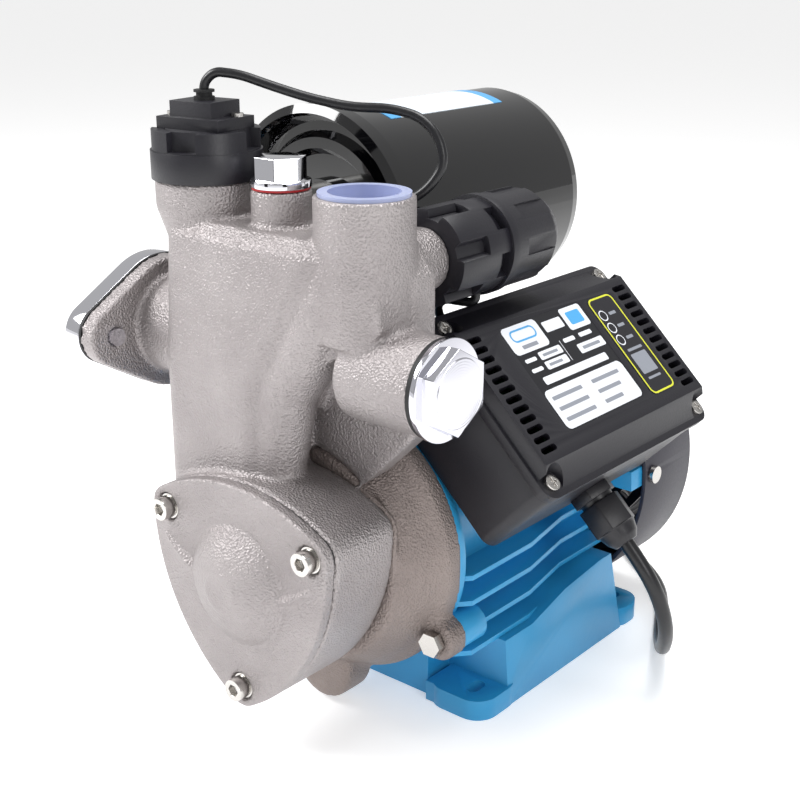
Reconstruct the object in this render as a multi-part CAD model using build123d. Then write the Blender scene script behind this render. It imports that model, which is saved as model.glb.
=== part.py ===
from build123d import *
import os
from math import cos, hypot, pi, radians, sin, sqrt, tan

# Self-priming shallow well jet pump with a nickel-silver cast casing, a finned motor, a small
# pressure tank, a pressure switch, a flow sensor and a tilted control box.
# Frame: +Y runs along the shaft from the front cover to the fan, +X is to the right seen from
# the front, +Z is up. The origin is the centre of the foot's four slots, on the floor.
# Millimetres throughout.

# ---------------------------------------------------------------- driving dimensions
shaft_height = 80.0          # shaft axis above the floor
running_gap = 0.05           # radial clearance of a guided or turning fit
moving_gap = 0.6             # clearance between pieces that move past each other

# stations along the shaft, front to back
cover_seat_y = -147.0        # face of the drum that the front cover seats on
seam_y = -111.0              # face between the casing and the motor bracket
bracket_back_y = -80.0       # face between the bracket and the motor housing
housing_back_y = 54.0
fan_cover_back_y = housing_back_y + 51.0

# front cover
cover_screw_radius = 48.8
cover_corner_radius = 9.5
cover_plate = 5.5
cover_gasket = 1.0
dome_radius = 27.0
dome_height = 10.0
hub_disc_radius = 9.0
hub_groove = 0.7
screw_pocket_radius = 6.4
screw_pocket_depth = 2.6

# casing
drum_bore = 40.0
cast_wall = 5.0
head_front_y = -141.0
head_back_y = -97.0
head_left_x = -66.0
head_right_x = 62.0
head_chamfer = 6.0
head_back_thickness = 13.0
panel_right_x = 6.0
panel_top_right_x = 38.0
panel_flare_z = shaft_height + 86.0
head_top_z = shaft_height + 151.0
port_y = -116.0
port_top_z = head_top_z + 12.0
sensor_port_x = -47.7
fill_port_x = -4.0
outlet_port_x = 41.0
sensor_neck_radius = 22.4
fill_boss_radius = 12.6
pipe_bore = 15.1             # G1 thread, minor radius
outlet_boss_radius = pipe_bore + 5.1
outlet_cap_recess = pipe_bore + 1.7
outlet_cap_floor = port_top_z - 5.5
side_port_z = shaft_height + 95.0
side_face_x = 78.0
side_plug_bore = 13.0
side_plug_hexagon = 31.0
chamber_low_z = shaft_height + 24.0
shelf_z = (port_top_z - 59.0, port_top_z - 54.0)
port_floor_z = port_top_z - 38.0
ejector_x = -40.0
ejector_y = -119.0
side_boss_radius = 20.0
switch_boss_radius = 13.5
switch_boss_y = -79.0
rear_port_z = port_top_z - 29.0
tank_x = -44.0
tank_boss_radius = 14.0
tank_boss_y = -72.0
suction_passage = pipe_bore + 1.9
suction_y = -104.0
suction_z = shaft_height + 89.5
suction_face_x = -96.0
oval_bolt_offset = 35.0
oval_end_radius = 13.5
oval_mid_radius = 31.0
oval_flange = 8.0
bolt_radius = 4.0            # M8 suction bolts
impeller_y = (-129.0, -115.5)
impeller_radius = drum_bore - 3.6

# motor bracket
rim_radius = 63.5
lug_bolt_radius = 66.5
lug_bolt_angles = (-30.0, 90.0, 210.0)
lug_radius = 9.5

# motor
housing_core = 50.0
screw_radius = 3.0            # M6 screws of cover and bracket
cover_screw_bite = 13.0
stator_outer = 45.0
stator_bore = 25.5
stator_y = (-42.0, housing_back_y - 32.0)
rotor_radius = 25.0
shaft_radius = 7.5
seal_radius = shaft_radius + 4.5
bearing_outer = 17.5
bearing_width = 11.0
front_bearing_y = -94.0
rear_bearing_y = housing_back_y - 16.0
fan_y = (housing_back_y + 8.0, housing_back_y + 30.0)
fin_pitch = 12.4
fin_start = -8.0
fin_thickness = 2.4
fin_reach = 63.0
fin_back_y = housing_back_y - 4.0
fin_step_y = (-26.0, 8.0)
pedestal_top_z = shaft_height - 36.5
foot_slot_x = 57.0
foot_slot_y = 59.4
foot_slot_width = 6.6
foot_slot_length = 10.6
foot_half_width = 70.0
foot_front_y = -72.0
foot_back_y = 70.0
foot_thickness = 10.0
fan_cover_radius = 76.2
fan_cover_wall = 2.0
fan_radius = 62.0
fan_screw_y = housing_back_y + 6.5
fan_screw_z = shaft_height + 4.0

# pressure tank
tank_z = rear_port_z - 2.5
tank_radius = 52.5
tank_rim_radius = 56.5
tank_rim_y = -57.0
tank_shell_y = -44.0
tank_shoulder_y = 82.0
tank_dome = 26.0
sheet = 1.5

# pressure switch
switch_radius = 21.8
switch_base_y = -46.0
switch_end_y = -6.0

# control box, in its own tilted frame: x runs down the slope, z is away from the shaft
box_tilt = 44.1
box_x = (-45.0, 47.0)
box_y = (-80.0, 54.0)
box_bottom = 62.5
box_split = 102.0
lid_pad = 106.4
lid_top = 114.0
lid_screw_inset = 6.6
box_wall = 2.6
gland_y = -12.0
gland_z = 73.5
gland_across_flats = 19.0
vent_count = 12
vent_pitch = 5.0
vent_width = 3.0
vent_length = 10.5
vent_inset = 9.5
plate_x = (-27.5, 26.0)
plate_y = (-52.5, 9.5)
status_x = (-26.5, 28.0)
status_y = (14.5, 35.5)
led_x = (-16.3, -9.3, -2.4)
led_y = 19.6
led_radius = 2.2
sensor_entry_y = -62.0
switch_entry_y = -50.0
entry_z = 90.0

# cords
sensor_cable_diameter = 4.0
power_cord_diameter = 7.0
coil_radius = 42.0
coil_centre = (-30.0, 158.0)
coil_height = 14.4

Y_AXIS = Rotation(-90, 0, 0)          # turns +Z to +Y
X_AXIS = Rotation(0, 90, 0)           # turns +Z to +X
tilted = Pos(0, 0, shaft_height) * Rotation(0, box_tilt, 0)


# ---------------------------------------------------------------- helpers
def rod_y(radius, y0, y1, x=0.0, z=shaft_height):
    return Pos(x, (y0 + y1) / 2, z) * Y_AXIS * Cylinder(radius, y1 - y0)


def rod_x(radius, x0, x1, y, z):
    return Pos((x0 + x1) / 2, y, z) * X_AXIS * Cylinder(radius, x1 - x0)


def rod_z(radius, z0, z1, x, y):
    return Pos(x, y, (z0 + z1) / 2) * Cylinder(radius, z1 - z0)


def tube_y(outer, inner, y0, y1, x=0.0, z=shaft_height):
    return rod_y(outer, y0, y1, x, z) - rod_y(inner, y0 - 1, y1 + 1, x, z)


def block(x0, x1, y0, y1, z0, z1):
    centre = Pos((x0 + x1) / 2, (y0 + y1) / 2, (z0 + z1) / 2)
    return centre * Box(x1 - x0, y1 - y0, z1 - z0)


def cone_between(start, end, radius_start, radius_end):
    """A solid cone or tube core whose axis runs from start to end."""
    axis = Vector(*end) - Vector(*start)
    plane = Plane(origin=start, z_dir=axis)
    lower = plane * Circle(radius_start)
    upper = Plane(origin=end, x_dir=plane.x_dir, z_dir=axis) * Circle(radius_end)
    return Solid.make_loft([lower.wire(), upper.wire()])


def turned(points, axis_place):
    """Revolves an outline of (radius, height) points round the local Z axis."""
    outline = make_face(Polyline(*[(r, 0, h) for r, h in points], close=True))
    return axis_place * revolve(outline, Axis.Z)


def hexagon(across_flats, height):
    return extrude(RegularPolygon(across_flats / 2, 6, major_radius=False), height)


def around_shaft(radius, angle):
    """Place at a given radius and angle (from +X towards +Z) round the shaft axis."""
    return radius * cos(radians(angle)), shaft_height + radius * sin(radians(angle))


def group(solids):
    return Compound(children=list(solids))


# ---------------------------------------------------------------- front cover and drum outline
cover_screw_angles = (150.0, 30.0, 270.0)


def cover_outline(inset=0.0):
    """Bulged triangle through the three cover screws, with rounded corners, drawn in XZ."""
    side = cover_screw_radius * sqrt(3)
    spots = [around_shaft(cover_screw_radius, a) for a in cover_screw_angles]
    arcs = []
    for i in range(3):
        (xa, za), (xb, zb) = spots[i], spots[(i + 1) % 3]
        xc, zc = spots[(i + 2) % 3]
        xm, zm = (xa + xb) / 2 - xc, (za + zb) / 2 - zc
        scale = side / hypot(xm, zm)
        middle = (xc + xm * scale, zc + zm * scale)
        arcs.append(ThreePointArc((xa, za), middle, (xb, zb)))
    return offset(make_face(arcs), cover_corner_radius - inset, kind=Kind.ARC)


def drum_solid(y0, y1, inset=0.0):
    """Prism of the cover outline between two stations on the shaft."""
    plane = Plane(origin=(0, y1, 0), x_dir=(1, 0, 0), z_dir=(0, -1, 0))
    return extrude(plane * cover_outline(inset), y1 - y0)


def make_front_cover():
    back = cover_seat_y - cover_gasket
    front = back - cover_plate
    cover = drum_solid(front, back)
    rise = dome_height - hub_groove
    slope = [Line((0, 0, 0), (dome_radius, 0, 0)),
             ThreePointArc((dome_radius, 0, 0), (dome_radius * 0.64, 0, rise * 0.74),
                           (hub_disc_radius + 1, 0, rise)),
             Line((hub_disc_radius + 1, 0, rise), (0, 0, rise)), Line((0, 0, rise), (0, 0, 0))]
    facing = Pos(0, front, shaft_height) * Rotation(90, 0, 0)
    dome = facing * revolve(make_face(slope), Axis.Z)
    dome += rod_y(hub_disc_radius, front - dome_height, front - 1)
    inside = turned([(0, -cover_plate), (dome_radius - 5, -cover_plate),
                     (dome_radius - 5, -1.0), (dome_radius * 0.5, dome_height - 4),
                     (0, dome_height - 4)], facing)
    cover = cover + dome - inside
    for angle in cover_screw_angles:
        x, z = around_shaft(cover_screw_radius, angle)
        cover -= rod_y(screw_pocket_radius, front - 1, front + screw_pocket_depth, x, z)
        cover -= rod_y(3.2, front - 1, back + 1, x, z)
    gasket = drum_solid(back, cover_seat_y, 1.0) - rod_y(drum_bore, back - 1, cover_seat_y + 1)
    screws, washers = [], []
    seat = front + screw_pocket_depth
    for angle in cover_screw_angles:
        x, z = around_shaft(cover_screw_radius, angle)
        gasket -= rod_y(3.2, back - 1, cover_seat_y + 1, x, z)
        washers.append(tube_y(5.8, 3.1, seat - 1.4, seat, x, z))
        head = seat - 1.4
        screw = rod_y(5.0, head - 6.0, head, x, z) + rod_y(screw_radius, head, seam_y + cover_screw_bite, x, z)
        socket = Pos(x, head - 6.0, z) * Y_AXIS * hexagon(5.0, 3.4)
        screws.append(screw - socket)
    return {"front_cover": cover, "front_cover_gasket": gasket,
            "cover_screws": group(screws + washers)}


# ---------------------------------------------------------------- casing
def oval_face(bolt_offset, end_radius, mid_radius):
    """Two-bolt oval flange outline, long axis on local X."""
    spots = Locations((bolt_offset, 0), (-bolt_offset, 0))
    return make_hull((Circle(mid_radius) + spots * Circle(end_radius)).edges())


def suction_plate(x0, x1):
    """Oval flange solid between two X stations, with its long axis along Y."""
    plane = Plane(origin=(x0, suction_y, suction_z), x_dir=(0, 1, 0), z_dir=(1, 0, 0))
    return extrude(plane * oval_face(oval_bolt_offset, oval_end_radius, oval_mid_radius),
                   x1 - x0)


def section(z, x0, x1, y0, y1, corner):
    shape = RectangleRounded(x1 - x0, y1 - y0, corner)
    return Plane(origin=((x0 + x1) / 2, (y0 + y1) / 2, z)) * shape


def chamber_solid(inset):
    """Tall chamber behind the front panel of the head, flaring to the right near its top."""
    corner = 12.0 - inset
    left = head_left_x + 9 + inset
    back = head_back_y - inset
    top = head_top_z - 3 - inset
    shoulder = top - head_chamfer
    low, middle, high = [section(z, left, right - inset, front + inset, back, corner)
                         for z, right, front in (
                             (chamber_low_z + inset, panel_right_x - 2, head_front_y - 1),
                             (panel_flare_z, panel_right_x, head_front_y - 1),
                             (shoulder, panel_top_right_x, head_front_y + 3))]
    cap = section(top, left + head_chamfer, panel_top_right_x - inset - head_chamfer,
                  head_front_y + 3 + inset + head_chamfer, back - head_chamfer / 2,
                  corner - head_chamfer / 2)
    return loft([low, middle]) + loft([middle, high]) + loft([high, cap])


discharge_low = (-1.0, -128.0, shaft_height + 30.0)
discharge_bend = (7.0, -126.5, panel_flare_z - 3)
discharge_high = (outlet_port_x, port_y, head_top_z - 8)
suction_inner_x = suction_face_x + oval_flange


def head_back_plate():
    """Back of the head: a flat-backed body whose underside slopes from the side outlet
    down to the drum."""
    outline = Polyline((head_left_x + 1, chamber_low_z + 6), (head_left_x, head_top_z - 7),
                       (-20, head_top_z), (head_right_x - 10, head_top_z - 4),
                       (head_right_x, head_top_z - 17), (head_right_x, side_port_z - 25),
                       (56, side_port_z - 32), (12, chamber_low_z - 4),
                       (-30, chamber_low_z - 8), close=True)
    plane = Plane(origin=(0, head_back_y, 0), x_dir=(1, 0, 0), z_dir=(0, -1, 0))
    return extrude(plane * make_face(outline), head_back_thickness)


def head_web():
    """Web between the outlet boss and the discharge ridge, whose underside runs diagonally."""
    outline = Polyline((20, port_top_z - 35), (59, port_top_z - 35), (61, port_top_z - 47),
                       (46, port_top_z - 56), (30, port_top_z - 66), (18, port_top_z - 78),
                       (12, port_top_z - 92), (2, port_top_z - 92), close=True)
    plane = Plane(origin=(0, head_back_y, 0), x_dir=(1, 0, 0), z_dir=(0, -1, 0))
    return extrude(plane * make_face(outline), 33)


def make_casing():
    body = drum_solid(cover_seat_y, seam_y)
    body += chamber_solid(0.0)
    body += cone_between(discharge_low, discharge_bend, 11.0, 13.0)
    body += Pos(*discharge_bend) * Sphere(13.0)
    body += cone_between(discharge_bend, discharge_high, 13.0, outlet_boss_radius - 0.5)
    body += head_back_plate()
    body += head_web()
    body -= bracket_outer(0.6) + drum_solid(seam_y, seam_y + 3.5)
    body += rod_z(sensor_neck_radius, port_top_z - 11, port_top_z, sensor_port_x, port_y)
    body += cone_between((sensor_port_x + 6, port_y, port_top_z - 50),
                         (sensor_port_x, port_y, port_top_z - 10), 13.0, sensor_neck_radius)
    body += rod_z(fill_boss_radius, port_top_z - 30, port_top_z, fill_port_x, port_y)
    body += rod_z(outlet_boss_radius, port_top_z - 55, port_top_z + 2.5, outlet_port_x, port_y)
    body += rod_x(side_boss_radius, 40, side_face_x, port_y, side_port_z)
    body += rod_y(switch_boss_radius, -110, switch_boss_y, outlet_port_x, rear_port_z)
    body += rod_y(tank_boss_radius, -110, tank_boss_y, tank_x, rear_port_z)
    body += rod_x(suction_passage + 6, suction_inner_x - 1, -50, suction_y, suction_z)
    body += suction_plate(suction_face_x, suction_inner_x)

    # chambers and passages
    body -= rod_y(drum_bore, cover_seat_y - 1, seam_y + 1)
    shelf = block(-80, 40, head_front_y, head_back_y, *shelf_z)
    body -= chamber_solid(cast_wall) - shelf
    body -= cone_between(discharge_low, discharge_bend, 7.0, 8.0)
    body -= Pos(*discharge_bend) * Sphere(8.0)
    body -= cone_between(discharge_bend, discharge_high, 8.0, pipe_bore - 1)
    body -= rod_z(9.0, shelf_z[0] - 4, shelf_z[1] + 3, ejector_x, ejector_y)
    body -= rod_z(6.0, shelf_z[0] - 4, shelf_z[1] + 3, ejector_x + 24, ejector_y)
    body -= rod_z(15.0, port_floor_z, port_top_z + 1, sensor_port_x, port_y)
    body -= rod_z(7.5, port_floor_z, port_top_z + 1, fill_port_x, port_y)
    body -= rod_z(pipe_bore, port_floor_z - 1, port_top_z + 4, outlet_port_x, port_y)
    body -= rod_z(outlet_cap_recess, outlet_cap_floor, port_top_z + 4, outlet_port_x, port_y)
    body -= rod_x(side_plug_bore, 36, side_face_x + 1, port_y, side_port_z)
    body -= rod_y(6.0, -118, switch_boss_y + 1, outlet_port_x, rear_port_z)
    body -= rod_y(7.0, -118, tank_boss_y + 1, tank_x, rear_port_z)
    body -= rod_x(suction_passage, suction_face_x - 1, head_left_x + 17, suction_y, suction_z)
    for side in (-1, 1):
        y = suction_y + side * oval_bolt_offset
        body -= rod_x(bolt_radius, suction_face_x - 1, suction_inner_x + 1, y, suction_z)
    for angle in cover_screw_angles:
        x, z = around_shaft(cover_screw_radius, angle)
        body -= rod_y(screw_radius, cover_seat_y - 1, seam_y + 1, x, z)
    return {"pump_casing": body}


# ejector: nozzle and venturi tube in one piece, standing in the shelf of the chamber
def make_ejector():
    place = Pos(ejector_x, ejector_y, shelf_z[1])
    tube = turned([(5.0, -61), (7.5, -67), (8.9, -67), (6.6, -39), (8.9, -17), (8.9, 0),
                   (12.0, 0), (12.0, 3), (7.6, 3), (4.2, -29)], place)
    nozzle = turned([(2.4, 7), (4.2, 7), (9.2, 19), (9.2, 22), (7.6, 22), (7.6, 19)], place)
    ribs = [place * Rotation(0, 0, turn) * block(8.6, 11.4, -1.2, 1.2, 1, 21)
            for turn in (0, 120, 240)]
    body = tube + nozzle
    for rib in ribs:
        body += rib
    return {"ejector": body}


# ---------------------------------------------------------------- ports of the head
def make_sensor():
    """Flow sensor: a collar nut, a cap with castle notches, two stacked blocks."""
    x, y, z = sensor_port_x, port_y, port_top_z
    housing = rod_z(15.0 - running_gap, z - 26, z, x, y) - rod_z(11.0, z - 27, z - 4, x, y)
    valve_bore = rod_z(3.2 + running_gap, z - 5, z + 7, x, y)
    cap = rod_z(23.7, z, z + 12, x, y) + rod_z(22.9, z + 12, z + 20.5, x, y)
    for turn in (20, 110, 200, 290):
        notch = Pos(x, y, 0) * Rotation(0, 0, turn) * block(17.5, 26, -6.5, 6.5, z + 12.5,
                                                            z + 22)
        cap -= notch
    cap -= rod_z(17.5, z + 15, z + 22, x, y)
    cap -= rod_z(9.0, z + 2, z + 16, x, y)
    housing = housing + cap - valve_bore
    head = block(x - 16.5, x + 16.5, y - 12, y + 12, z + 20.5, z + 25.5)
    head += block(x - 11, x + 11, y - 9.5, y + 9.5, z + 25.5, z + 32)
    head = Pos(x, y, 0) * Rotation(0, 0, 8) * Pos(-x, -y, 0) * head
    head += rod_z(17.0, z + 15, z + 20.5, x, y)
    head -= rod_z(3.0, z + 26, z + 33, x, y)
    oring = Pos(x, y, z - 6) * Torus(15.0, 1.0)
    housing -= oring
    casing_face = rod_z(15.0, z - 8, z - 4, x, y)
    oring = oring & casing_face
    grommet = rod_z(4.4, z + 32, z + 33.4, x, y) + rod_z(3.4, z + 33.4, z + 35.2, x, y)
    grommet += rod_z(4.4, z + 35.2, z + 36.2, x, y) + rod_z(3.0, z + 26, z + 32, x, y)
    grommet -= rod_z(sensor_cable_diameter / 2, z + 25, z + 38, x, y)
    screw_a = (x - 13.2, y - 6)
    screws = [rod_z(2.6, z + 25.5, z + 27, *screw_a),
              rod_z(2.6, z + 25.5, z + 27, x + 13.2, y + 6)]
    valve = rod_z(3.2, z - 22, z + 4, x, y) + rod_z(9.0, z - 24.5, z - 22, x, y)
    magnet = rod_z(2.4, z + 4, z + 6, x, y)
    return {"flow_sensor_housing": housing, "flow_sensor_head": head,
            "sensor_oring": oring, "sensor_grommet": grommet,
            "sensor_screws": group(screws), "flow_valve": group([valve, magnet])}


def hex_plug(across_flats, hex_height, flange_radius, flange_height, thread_radius, thread):
    """Flanged hexagon plug: flange on z=0, hexagon above it, thread below it."""
    plug = Pos(0, 0, flange_height) * hexagon(across_flats, hex_height)
    plug += rod_z(flange_radius, 0, flange_height, 0, 0)
    plug += rod_z(thread_radius, -thread, 0, 0, 0)
    return plug


def make_plugs():
    gasket_top = port_top_z + 0.8
    fill = Pos(fill_port_x, port_y, gasket_top) * hex_plug(19, 9.2, 12.4, 3.0, 7.5, 12)
    fill_gasket = rod_z(12.0, port_top_z, gasket_top, fill_port_x, port_y)
    fill_gasket -= rod_z(7.5, port_top_z - 1, gasket_top + 1, fill_port_x, port_y)
    ring_x = side_face_x + 2.4
    place = Pos(ring_x, port_y, side_port_z) * X_AXIS
    plug = hex_plug(side_plug_hexagon, 5.4, 20.8, 2.4, side_plug_bore, 18)
    plug += rod_z(side_plug_hexagon / 2 - 1.5, 7.8, 8.3, 0, 0)
    side = place * plug
    side_ring = rod_x(20.2, side_face_x, ring_x, port_y, side_port_z)
    side_ring -= rod_x(side_plug_bore, side_face_x - 1, ring_x + 1, port_y, side_port_z)
    lift = 0.35
    cap = rod_z(outlet_cap_recess - lift, outlet_cap_floor + lift, port_top_z + 2.5,
                outlet_port_x, port_y)
    cap += rod_z(outlet_cap_recess + 1.6, port_top_z + 2.5, port_top_z + 4.0, outlet_port_x, port_y)
    cap -= rod_z(outlet_cap_recess - 2.4, outlet_cap_floor + 2, port_top_z + 6,
                 outlet_port_x, port_y)
    return {"fill_plug": fill, "fill_plug_gasket": fill_gasket, "side_plug": side,
            "side_plug_oring": side_ring, "outlet_cap": cap}


def make_suction():
    gasket_x = suction_face_x - 1.5
    flange_x = gasket_x - 10.0
    hub_x = flange_x - 5.0
    bore = rod_x(pipe_bore, hub_x - 1, suction_face_x + 1, suction_y, suction_z)
    gasket = suction_plate(gasket_x, suction_face_x)
    gasket -= rod_x(suction_passage, gasket_x - 1, suction_face_x + 1, suction_y, suction_z)
    flange = suction_plate(flange_x, gasket_x)
    flange += rod_x(pipe_bore + 5.9, hub_x, flange_x, suction_y, suction_z)
    flange -= bore
    bolts = []
    for side in (-1, 1):
        y = suction_y + side * oval_bolt_offset
        hole = rod_x(bolt_radius, flange_x - 1, suction_face_x + 1, y, suction_z)
        gasket -= hole
        flange -= hole
        head = Pos(flange_x, y, suction_z) * Rotation(0, -90, 0) * hexagon(13.0, 5.3)
        shank = rod_x(bolt_radius, flange_x, suction_inner_x + 1.5, y, suction_z)
        bolts.append(head + shank)
    return {"suction_gasket": gasket, "suction_flange": flange, "suction_bolts": group(bolts)}


# ---------------------------------------------------------------- pump end
def bracket_outer(gap=0.0):
    """Flaring outside of the bracket, or the room that it needs with a gap round it."""
    depth = bracket_back_y - seam_y
    return turned([(0, 0), (50.0 + gap, 0), (57.0 + gap, 12), (60.0 + gap, 19),
                   (rim_radius + gap, 23), (rim_radius + gap, depth), (0, depth)],
                  Pos(0, seam_y, shaft_height) * Y_AXIS)


def make_bracket():
    plate_back = seam_y + 6.0
    body = drum_solid(seam_y, seam_y + 3.0)
    body += bracket_outer()
    for angle in lug_bolt_angles:
        x, z = around_shaft(lug_bolt_radius, angle)
        body += rod_y(lug_radius, bracket_back_y - 11, bracket_back_y, x, z)
    drain_boss = rod_y(17.0, seam_y + 8, bracket_back_y - 6, 0, shaft_height - 60)
    body += drain_boss & block(-17, 17, seam_y, bracket_back_y, shaft_height - 77,
                               shaft_height - 40)
    body -= turned([(44.0, 6), (52.0, 14), (56.0, 31.5), (0, 31.5), (0, 6)],
                   Pos(0, seam_y, shaft_height) * Y_AXIS)
    body += rod_y(24.0, plate_back, front_bearing_y + bearing_width)
    for angle in cover_screw_angles:
        x, z = around_shaft(cover_screw_radius, angle)
        body += rod_y(7.5, seam_y, seam_y + cover_screw_bite + 3, x, z) & bracket_outer()
    ribs = []
    for i in range(6):
        rib = Pos(0, 0, shaft_height) * Rotation(0, 60 * i + 30, 0) * block(
            20, 49, plate_back - 1, plate_back + 12, -2, 2)
        ribs.append(rib)
    for rib in ribs:
        body += rib
    body -= rod_y(bearing_outer, front_bearing_y, bracket_back_y + 1)
    body -= rod_y(seal_radius, seam_y - 1, front_bearing_y + 1)
    for angle in cover_screw_angles:
        x, z = around_shaft(cover_screw_radius, angle)
        body -= rod_y(screw_radius, seam_y - 1, seam_y + cover_screw_bite, x, z)
    for angle in lug_bolt_angles:
        x, z = around_shaft(lug_bolt_radius, angle)
        body -= rod_y(3.0, bracket_back_y - 12, bracket_back_y + 1, x, z)
    bolts = []
    lug_face = bracket_back_y - 11
    for angle in lug_bolt_angles:
        x, z = around_shaft(lug_bolt_radius, angle)
        head = Pos(x, lug_face - 4.2, z) * Y_AXIS * hexagon(10.0, 4.2)
        bolts.append(head + rod_y(3.0, lug_face, bracket_back_y + 14, x, z))
    return {"motor_bracket": body, "bracket_bolts": group(bolts)}


def make_pump_end():
    y0, y1 = impeller_y
    hub_radius = shaft_radius + 5.0
    impeller = rod_y(impeller_radius, y1 - 3, y1) + rod_y(hub_radius, y0, y1)
    impeller += tube_y(impeller_radius, 17.0, y0, y0 + 2.5)
    for i in range(6):
        tip = impeller_radius - 5.4
        middle = (hub_radius + tip) / 2
        vane = make_face(Polyline((hub_radius - 1.5, -2), (middle, -9), (tip, -18),
                                  (tip + 1, -15), (middle + 1, -6), (hub_radius - 1.5, 1),
                                  close=True))
        plane = Plane(origin=(0, y1 - 1, shaft_height), x_dir=(1, 0, 0), z_dir=(0, -1, 0))
        blade = extrude(plane * (Rotation(0, 0, 60 * i) * vane), y1 - y0 - 2)
        impeller += blade
    impeller -= rod_y(shaft_radius, y0 - 1, y1 + 1)
    front = cover_seat_y + 0.5
    diffuser = tube_y(drum_bore, 14.0, front + 10, impeller_y[0] - moving_gap)
    diffuser += tube_y(drum_bore, drum_bore - 4, front, front + 10)
    for i in range(8):
        vane = Pos(0, 0, shaft_height) * Rotation(0, 45 * i, 0) * block(
            20, drum_bore - 2, front + 3, front + 11, -1.5, 1.5)
        diffuser += vane
    seat = tube_y(seal_radius, shaft_radius + moving_gap, seam_y, seam_y + 8)
    head = tube_y(seal_radius - 1, shaft_radius, impeller_y[1], seam_y - 0.1)
    nut = Pos(0, impeller_y[0], shaft_height) * Rotation(90, 0, 0) * hexagon(13, 6.5)
    nut -= rod_y(4.0, impeller_y[0] - 8, impeller_y[0] + 1)
    return {"impeller": impeller, "impeller_nut": nut, "diffuser": diffuser,
            "shaft_seal_seat": seat, "shaft_seal_head": head}


# ---------------------------------------------------------------- motor
def fin_plate(offset_z, x0, side):
    """One cooling fin: its edge steps inwards behind the middle of the housing."""
    reach = min(fin_reach, sqrt(78.0 ** 2 - offset_z ** 2))
    back = reach - 6.0
    outline = Polyline((x0 * side, bracket_back_y + 2), ((reach - 6) * side, bracket_back_y + 2),
                       (reach * side, bracket_back_y + 9), (reach * side, fin_step_y[0]),
                       (back * side, fin_step_y[1]), (back * side, fin_back_y),
                       (x0 * side, fin_back_y), close=True)
    plate = extrude(make_face(outline), fin_thickness)
    return Pos(0, 0, shaft_height + offset_z - fin_thickness / 2) * plate


def make_housing():
    body = rod_y(housing_core, bracket_back_y, housing_back_y)
    body += rod_y(62.0, bracket_back_y, bracket_back_y + 5)
    body += rod_y(56.0, housing_back_y - 10, housing_back_y)
    for i in range(-3, 5):
        level = fin_start + i * fin_pitch
        core_x = sqrt(max(housing_core ** 2 - level ** 2, 0)) - 3
        for side in (-1, 1):
            if side > 0 and i > 0:
                continue
            body += fin_plate(level, max(core_x, 0.0), side)
    # pedestal, nose and ears of the foot
    top = pedestal_top_z
    profile = make_face(Polyline((-50, 0), (-50, top - 10.5), (-28, top - 10.5), (0, top - 3.5),
                                 (32, top), (42, top), (49, 0), close=True))
    pedestal = extrude(Plane(origin=(-80, 0, 0), x_dir=(0, 1, 0), z_dir=(1, 0, 0)) * profile,
                       160)
    body += pedestal & loft([section(0, -69.5, 69.5, -60, 60, 1),
                             section(top + 2.5, -65.5, 65.5, -60, 60, 1)])
    body += block(-34, 34, -66, -44, 0, top - 1.5)
    for side in (-1, 1):
        x0, x1 = sorted((side * 36, side * foot_half_width))
        for y0, y1 in ((foot_front_y, -40), (44, foot_back_y)):
            ear = extrude(section(0, x0, x1, y0, y1, 11), foot_thickness)
            body += ear
            body += block(x0 if side > 0 else x0 + 16, x1 - 16 if side > 0 else x1,
                          max(y0, -70), min(y1, 60), 0, foot_thickness)
    for angle in lug_bolt_angles:
        x, z = around_shaft(lug_bolt_radius, angle)
        body += rod_y(lug_radius - 1, bracket_back_y, bracket_back_y + 16, x, z)
    # pad under the control box
    pad = tilted * block(-26, 26, -52, 30, 44, box_bottom)
    body += pad
    arm_y = (housing_back_y - 10, fan_screw_y + 5.5)
    arm_z = (fan_screw_z - 5, fan_screw_z + 5)
    for side in (-1, 1):
        near = block(*sorted((side * 50, side * 80)), arm_y[0], housing_back_y, *arm_z)
        far = block(*sorted((side * (fan_radius + 2), side * 80)), *arm_y, *arm_z)
        arm = (near + far) & rod_y(fan_cover_radius - fan_cover_wall - 0.2, *arm_y)
        hole = sorted((side * (fan_radius + 1), side * 80))
        body += arm - rod_x(2.0, *hole, fan_screw_y, fan_screw_z)
    # hollows
    body -= rod_y(stator_outer, bracket_back_y - 1, housing_back_y + 1)
    body -= loft([section(-1, -62, 62, -39, -4, 3), section(24, -54, 54, -39, -4, 3)])
    body -= loft([section(-1, -62, 62, 4, 42, 3), section(24, -54, 54, 4, 38, 3)])
    for side in (-1, 1):
        for y in (-foot_slot_y, foot_slot_y):
            slot = SlotOverall(foot_slot_length, foot_slot_width, rotation=90)
            body -= Pos(side * foot_slot_x, y, -1) * extrude(slot, foot_thickness + 2)
    for angle in lug_bolt_angles:
        x, z = around_shaft(lug_bolt_radius, angle)
        body -= rod_y(3.0, bracket_back_y - 1, bracket_back_y + 14, x, z)
    body -= tilted * Pos(0, -30, 54) * Cylinder(7, 30)
    return {"motor_housing": body}


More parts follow.
